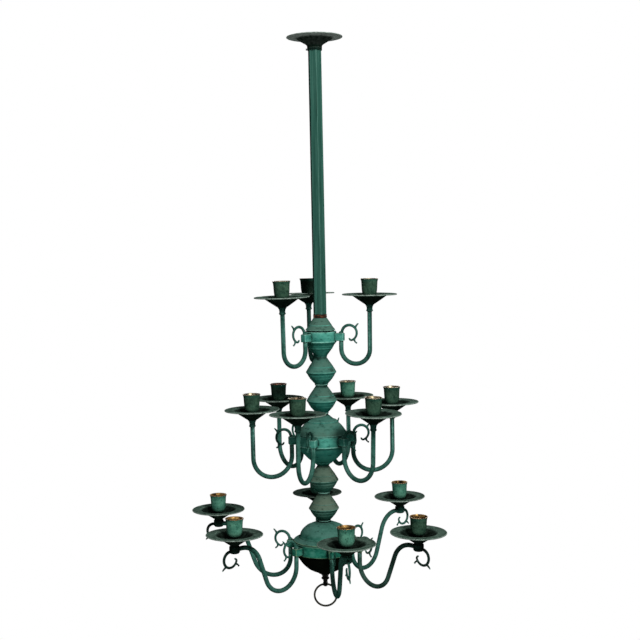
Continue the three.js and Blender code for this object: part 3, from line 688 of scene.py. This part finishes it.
def markCreaseDepth(piece, sizes):
    # how far a point lies inside the crease, for the soot in a pan's well and the painted shade in the
    # canopy's cone
    depth = piece.data.attributes.new("wellDepth", "FLOAT", "POINT")
    for vertex in piece.data.vertices:
        radius = math.hypot(vertex.co.x, vertex.co.y) / mm
        depth.data[vertex.index].value = min(
            1.0, max(0.0, (sizes["crease"] - radius) / sizes["sootAndShadeFade"]))


def makePan():
    # spun sheet with a rolled rim, and a cone down to its stud hole
    sheet = panSizes["sheet"]
    top = panTop[:-1] + curveThrough(panCone, 3) + [(2.8, -18.4)]
    below = [(2.8, -19.6), (8.7, -19.6), (9.3, -18.6)] + curveThrough(
        [(r + 0.6, z - sheet) for r, z in panCone[1:-1]][::-1], 3) + [(35.2, -2.1), (48.8, -1.7)]
    rim = bead(panSizes["rimRadius"], -panSizes["rim"], panSizes["rim"], -100, 90, 7)
    pan = turnOnLathe("pan", below + rim + top + [below[0]], panSizes["steps"])
    markCreaseDepth(pan, panSizes)
    return pan


cupSizes = {"steps": 40, "bareFrom": -3.2, "lipFrom": 27.3}
cupOutside = [(5.0, -18.2), (5.4, -17.2), (4.6, -15.8), (4.6, -8.6)]
cupBody = [(5.4, -6.6), (8.7, -5.2), (11.6, -2.2), (13.3, 2.0), (14.1, 7.0), (14.5, 13.0),
           (14.8, 19.0), (15.2, 23.6), (16.4, 27.4)]
cupInside = [(15.3, 27.8), (14.0, 24.0), (13.5, 19.0), (12.9, 12.4), (12.0, 4.0), (9.6, -0.6)]


def makeCup():
    # a beaker with a stud hole in its foot; its inside faces keep the bare brass
    outside = cupOutside + curveThrough(cupBody, 3)
    lip = [(16.6, 27.9), (16.4, 28.2), (15.8, 28.2)]
    inside = curveThrough(cupInside, 3) + [(6.0, -2.8), (0, -2.9)]
    stud = [(0, -12.2), (2.8, -12.2), (2.8, -18.2)]
    cup = turnOnLathe("cup", stud + outside + lip + inside, cupSizes["steps"])
    cup.data.materials.append(cupVerdigris)
    cup.data.materials.append(yellowBrass)
    for face in cup.data.polygons:
        outward = Vector((face.center.x, face.center.y, 0)).dot(face.normal)
        height = face.center.z / mm
        inner = height > cupSizes["bareFrom"] and (outward < 0 or face.normal.z > 0.9)
        if inner or height > cupSizes["lipFrom"]:
            face.material_index = 1
    return cup


# Column pieces in place

def makeHub(name, outside, tierName, material):
    # the turned body, with a lug welded on where each arm's pin stands
    hub = hollowTurning(name, outside)
    lug = makeLug()
    for i in range(1, tiers[tierName]["count"] + 1):
        pin = Vector(joints[f"{tierName}_arm_{i}_swivel"]["pos_m"])
        azimuth = math.atan2(pin.y, pin.x)
        place = Matrix.Translation(pin) @ Matrix.Rotation(azimuth, 4, "Z")
        weld(hub, copyPlaced(lug, "lugCopy", place))
    bpy.data.objects.remove(lug, do_unlink=True)
    smoothShade(hub)
    settle(hub, material, "column", "verdigris", name)


makeHub("upper_hub", upperHubOutside, "upper", columnVerdigris)
makeHub("middle_hub", middleHubOutside, "middle", columnVerdigris)
makeHub("lower_hub", lowerHubOutside, "lower", lowerHubVerdigris)
for i in range(1, 5):
    name = f"baluster_{i}"
    paint = columnVerdigris if i < 3 else lowerColumnVerdigris
    settle(hollowTurning(name, balusterOutside), paint, "column", "verdigris", name)
print("hubs and balusters turned")


tubeSizes = {"flats": 22.4, "twist": 12.0, "bore": 9.5, "edge": 0.7, "endRun": 3.0}


def makeTube():
    # hexagonal tube with rounded corners; its bore runs right through
    low, high = bottomOf("stem_tube"), topOf("stem_tube")
    corner = tubeSizes["flats"] / 2 / math.cos(math.pi / 6)
    pickOnly()
    bpy.ops.mesh.primitive_circle_add(vertices=6, radius=corner * mm, fill_type="NGON",
                                      location=(0, 0, low * mm))
    tube = bpy.context.object
    bpy.ops.object.mode_set(mode="EDIT")
    bpy.ops.mesh.select_all(action="SELECT")
    bpy.ops.transform.rotate(value=math.radians(-tubeSizes["twist"]), orient_axis="Z",
                             center_override=(0, 0, 0))
    bpy.ops.mesh.subdivide(number_cuts=5)
    endRun = tubeSizes["endRun"]
    for run in (endRun, high - low - 2 * endRun, endRun):
        bpy.ops.mesh.extrude_region_move(TRANSFORM_OT_translate={"value": (0, 0, run * mm)})
    finishMesh(tube, "stem_tube_fine")
    pickOnly()
    bpy.ops.mesh.primitive_cylinder_add(vertices=32, radius=tubeSizes["bore"] * mm,
                                        depth=1.2 * (high - low) * mm,
                                        location=(0, 0, (low + high) / 2 * mm))
    cutAway(tube, bpy.context.object)
    applyModifier(tube, "BEVEL", width=tubeSizes["edge"] * mm, segments=3, limit_method="ANGLE",
                  angle_limit=math.radians(40))
    smoothShade(tube)
    return tube


settle(makeTube(), tubeVerdigris, "column", "verdigris", "stem_tube")

canopySizes = {"bore": 13.2, "wall": (0.9, 1.15), "crease": 36.0, "sootAndShadeFade": 4.0, "steps": 96}
canopyUnder = [(13.8, -21.0), (13.9, -17.6), (14.6, -15.9), (16.6, -13.9), (19.8, -11.9),
               (23.4, -9.8), (28.6, -6.6), (33.6, -3.2), (36.4, -2.2), (43.0, -1.6), (50.6, -1.3)]


def makeCanopy():
    # spun sheet: a flat brim, and a cone down to a neck that clears the tube
    bore, (across, up) = canopySizes["bore"], canopySizes["wall"]
    foot = (bore, canopyUnder[0][1])
    inside = [(r - across, z + up) for r, z in canopyUnder[2:7]]
    profile = ([foot] + curveThrough(canopyUnder, 3) + bead(51.1, -0.75, 0.75, -80, 80, 5)
               + [(45.0, 0.0), (canopySizes["crease"], 0.0)] + curveThrough(inside[::-1], 3)
               + [(bore, -16.2), foot])
    canopy = turnOnLathe("canopy_fine", profile, canopySizes["steps"])
    markCreaseDepth(canopy, canopySizes)
    return canopy


collarSizes = {"radius": 13.8, "bead": 1.0, "steps": 64, "screwOut": 13.9}
screwOutside = [(0, 0), (1.6, 0), (1.6, 0.8), (2.0, 1.0), (2.0, 1.8), (1.6, 2.2), (0, 2.2)]


def makeCollar():
    # beaded ring with the canopy's bore, and a set screw in its left side
    low, high = bottomOf("canopy_collar"), topOf("canopy_collar")
    bore, outer, size = canopySizes["bore"], collarSizes["radius"], collarSizes["bead"]
    profile = ([(bore, low), (outer, low)] + bead(outer - 0.9, (high + low) / 2, size, -70, 70, 6)
               + [(outer, high), (bore, high), (bore, low)])
    collar = turnOnLathe("canopy_collar_fine", profile, collarSizes["steps"])
    screw = turnOnLathe("setScrew", screwOutside, 20)
    head = Vector((-collarSizes["screwOut"], 0, (high + low) / 2))
    screw.data.transform(Matrix.Translation(head * mm)
                         @ Matrix.Rotation(math.radians(-90), 4, "Y"))
    return weld(collar, screw)


settle(makeCanopy(), canopyVerdigris, "canopy", "dark_verdigris", "canopy")
# the collar takes the near-black end paint, as painted shade under the canopy
settle(makeCollar(), shadedEndVerdigris, "canopy", "dark_verdigris", "canopy_collar")

neckRingSizes = {"bore": 4.4, "radius": 12.6, "cap": 13.1, "bead": 1.4, "steps": 64, "edge": 0.2}


def makeNeckRing():
    # a bead, a groove and a cap
    low, high = bottomOf("neck_ring"), topOf("neck_ring")
    bore, cap = neckRingSizes["bore"], neckRingSizes["cap"]
    profile = ([(bore, low), (neckRingSizes["radius"], low)]
               + bead(neckRingSizes["radius"] - 0.8, low + 1.7, neckRingSizes["bead"], -60, 60, 5)
               + [(12.0, low + 3.4), (cap, low + 3.9), (cap, high), (bore, high), (bore, low)])
    return turnOnLathe("neck_ring_fine", profile, neckRingSizes["steps"], neckRingSizes["edge"])


settle(makeNeckRing(), brownCopper, "column", "bare_copper", "neck_ring")

finialSizes = {"eyeDrop": 20.0, "eyeBall": 5.5, "eyeHole": 3.0, "steps": 40}
finialOutside = [
    (0, -17.0), (3.6, -17.0), (4.2, -14.6), (4.5, -12.4), (5.6, -11.2)] + \
    bead(5.4, -9.0, 2.2, -70, 70, 7) + [
    (5.6, -6.6), (6.0, -5.0), (7.0, -2.6), (8.9, -0.8), (9.0, 0), (4.4, 0), (4.4, -8.0), (0, -8.0)]


def makeFinial():
    # a turned knob with a ball below it, and a hole through the ball for the ring
    top = topOf("finial")
    eye = (0, 0, (top - finialSizes["eyeDrop"]) * mm)
    finial = turnOnLathe("finial_fine", lowered(finialOutside, top), finialSizes["steps"])
    pickOnly()
    bpy.ops.mesh.primitive_uv_sphere_add(segments=28, ring_count=16,
                                         radius=finialSizes["eyeBall"] * mm, location=eye)
    weld(finial, bpy.context.object)
    pickOnly()
    bpy.ops.mesh.primitive_cylinder_add(vertices=28, radius=finialSizes["eyeHole"] * mm,
                                        depth=30 * mm, location=eye,
                                        rotation=(0, math.radians(90), 0))
    cutAway(finial, bpy.context.object)
    smoothShade(finial, 40)
    return finial


settle(makeFinial(), blackBronze, "column", "dark_bronze", "finial")

pullRingSizes = {"wire": 1.9, "sides": 14, "steps": 72}


def makePullRing():
    # a bent wire, closed on itself
    low, high = bottomOf("pull_ring"), topOf("pull_ring")
    wire, centre = pullRingSizes["wire"], (low + high) / 2
    rod = startRod(wire, (wire - (high - low) / 2, 0, centre), pullRingSizes["sides"])
    runRound(0, centre, 360, pullRingSizes["steps"])
    ring = finishMesh(rod, "pull_ring_fine")
    bpy.ops.object.mode_set(mode="EDIT")
    bpy.ops.mesh.select_all(action="DESELECT")
    bpy.ops.mesh.select_interior_faces()
    bpy.ops.mesh.delete(type="FACE")
    bpy.ops.object.mode_set(mode="OBJECT")
    return ring


settle(makePullRing(), rubbedBronze, "pull_ring", "dark_bronze", "pull_ring")
print("canopy, rings and finial done")

# The hidden rod and the loop keep their CAD shape
for name in ("tension_rod", "hanging_loop"):
    node = frame["nodes"][name]
    node.data.materials.clear()
    node.data.materials.append(plainSteel)

# Arms, pans and cups: most share their tier's finish; single ones have aged otherwise, and the
# near-black ones among them are painted shade
armFinishes = {
    "lower_arm_1": (armVerdigris, armVerdigris),     # green up to the pan; the rest have near-black ends, which are painted shade
    "lower_arm_2": (dullArmVerdigris, shadedEndVerdigris),
    "lower_arm_3": (armVerdigris, armVerdigris),
}
tierCups = {
    "upper": (oldCupVerdigris, paleBrass),
    "middle": (oldCupVerdigris, paleBrass),
    "lower": (cupVerdigris, yellowBrass),
}
singleCups = {
    "upper_cup_2": (shadedBackCupVerdigris, brownCopper),  # painted shade: near-black paint and a darker brown lip on the far side
    "middle_cup_5": (shadedBackCupVerdigris, brownCopper),
    "middle_cup_4": (cupVerdigris, paleBrass),
    "lower_cup_2": (oldCupVerdigris, yellowBrass),
}


def refinish(piece, finishes):
    for slot, material in enumerate(finishes):
        piece.data.materials[slot] = material


pan = makePan()
cup = makeCup()
for tierName, tier in tiers.items():
    arm = makeArm(tierName)
    lift = Matrix.Translation(Vector((tier["reach"], 0, tier["brimRise"])) * mm)
    for i in range(1, tier["count"] + 1):
        place = pinPlace(tierName, i)
        body = f"{tierName}_arm_{i}"
        panNode, cupNode = f"{tierName}_pan_{i}", f"{tierName}_cup_{i}"
        armCopy = copyPlaced(arm, body + "_fine", place)
        refinish(armCopy, armFinishes.get(body, ()))
        settle(armCopy, None, body, "verdigris", body)
        panCopy = copyPlaced(pan, panNode + "_fine", place @ lift)
        settle(panCopy, panVerdigris, body, "dark_verdigris", panNode)
        cupCopy = copyPlaced(cup, cupNode + "_fine", place @ lift)
        refinish(cupCopy, singleCups.get(cupNode, tierCups[tierName]))
        settle(cupCopy, None, body, "cup_verdigris", cupNode)
    bpy.data.objects.remove(arm, do_unlink=True)
    print(tierName, "arms done")
for spare in (pan, cup):
    bpy.data.objects.remove(spare, do_unlink=True)


# Stage, light and camera

stageSizes = {"floor": -2.3, "width": 14.0}   # in metres


def backgroundRays(tree):
    # 1 for what the camera, a gloss or a clear material sees of the studio, 0 for light on things
    path = addNode(tree, "ShaderNodeLightPath")
    seen = addNode(tree, "ShaderNodeMath", links={0: path.outputs["Is Camera Ray"],
                                                  1: path.outputs["Is Glossy Ray"]},
                   operation="MAXIMUM").outputs["Value"]
    return addNode(tree, "ShaderNodeMath", links={0: seen, 1: path.outputs["Is Transmission Ray"]},
                   operation="MAXIMUM").outputs["Value"]


def paperMaterial():
    # White paper: its own white to the camera, and a soft shadow kept on it
    material, tree, shader, where = newMaterial("matteWhitePaper")
    grain = noise(tree, where, 3.0)
    skin = tint(tree, spread(tree, grain, 0.3, 0.7, 0.0, 0.06), "#f4f4f2", "#e6e6e2")
    tree.links.new(skin, shader.inputs["Base Color"])
    shader.inputs["Roughness"].default_value = 0.9
    rays = backgroundRays(tree)
    away = addNode(tree, "ShaderNodeVectorMath", links={0: where}, operation="LENGTH").outputs["Value"]
    glow = addNode(tree, "ShaderNodeEmission", {"Color": colour("#ffffff"), "Strength": 1.0})
    share = times(tree, rays, spread(tree, away, 0.6, 1.6, 0.9, 1.0))
    mix = addNode(tree, "ShaderNodeMixShader", links={0: share, 1: shader.outputs[0],
                                                      2: glow.outputs[0]})
    output = next(n for n in tree.nodes if n.type == "OUTPUT_MATERIAL")
    tree.links.new(mix.outputs[0], output.inputs["Surface"])
    return material


pickOnly()
bpy.ops.mesh.primitive_plane_add(size=stageSizes["width"])
floor = bpy.context.object
floor.name = "paperFloor"
bpy.ops.object.mode_set(mode="EDIT")
bpy.ops.mesh.subdivide(number_cuts=3)
bpy.ops.object.mode_set(mode="OBJECT")
floor.location.z = stageSizes["floor"]
floor.data.materials.append(paperMaterial())

world = bpy.data.worlds.new("studio")
bpy.context.scene.world = world
world.use_nodes = True
tree = world.node_tree
background = tree.nodes["Background"]
seen = backgroundRays(tree)
background.inputs["Color"].default_value = colour("#ffffff")
tree.links.new(spread(tree, seen, 0.0, 1.0, 0.035, 1.0), background.inputs["Strength"])

lamps = {
    "key": {"at": (0.85, -2.4, 1.05), "aim": (0, 0, -0.5), "size": 0.6, "power": 100.0},
    "fill": {"at": (-1.6, -2.2, 0.0), "aim": (0, 0, -0.6), "size": 0.8, "power": 3.0},
    "top": {"at": (0.3, -0.5, 1.4), "aim": (0, 0, -0.6), "size": 0.6, "power": 14.0},
    "back": {"at": (0.2, 2.6, 0.6), "aim": (0, 0, -0.6), "size": 1.0, "power": 30.0},
}
for name, lamp in lamps.items():
    data = bpy.data.lights.new(name, "AREA")
    data.size = lamp["size"]
    data.energy = lamp["power"]
    light = bpy.data.objects.new(name, data)
    light.location = lamp["at"]
    away = Vector(lamp["at"]) - Vector(lamp["aim"])
    light.rotation_euler = away.to_track_quat("Z", "Y").to_euler()
    bpy.context.collection.objects.link(light)

# where the camera stands, in metres, and how it is turned, in degrees
view = {"at": (0.01001, -2.1552, -0.3806), "down": 3.769, "left": 0.271, "roll": -1.173,
        "lens": 64.96}
cameraData = bpy.data.cameras.new("camera")
cameraData.sensor_width = 36.0
cameraData.lens = view["lens"]
camera = bpy.data.objects.new("camera", cameraData)
turnTo = (Matrix.Rotation(math.radians(view["left"]), 3, "Z")
          @ Matrix.Rotation(math.radians(90 - view["down"]), 3, "X")
          @ Matrix.Rotation(math.radians(view["roll"]), 3, "Z"))
camera.location = view["at"]
camera.rotation_euler = turnTo.to_euler()
bpy.context.collection.objects.link(camera)
bpy.context.scene.camera = camera
bpy.context.scene.view_settings.view_transform = "Standard"
print("stage, lamps and camera set")
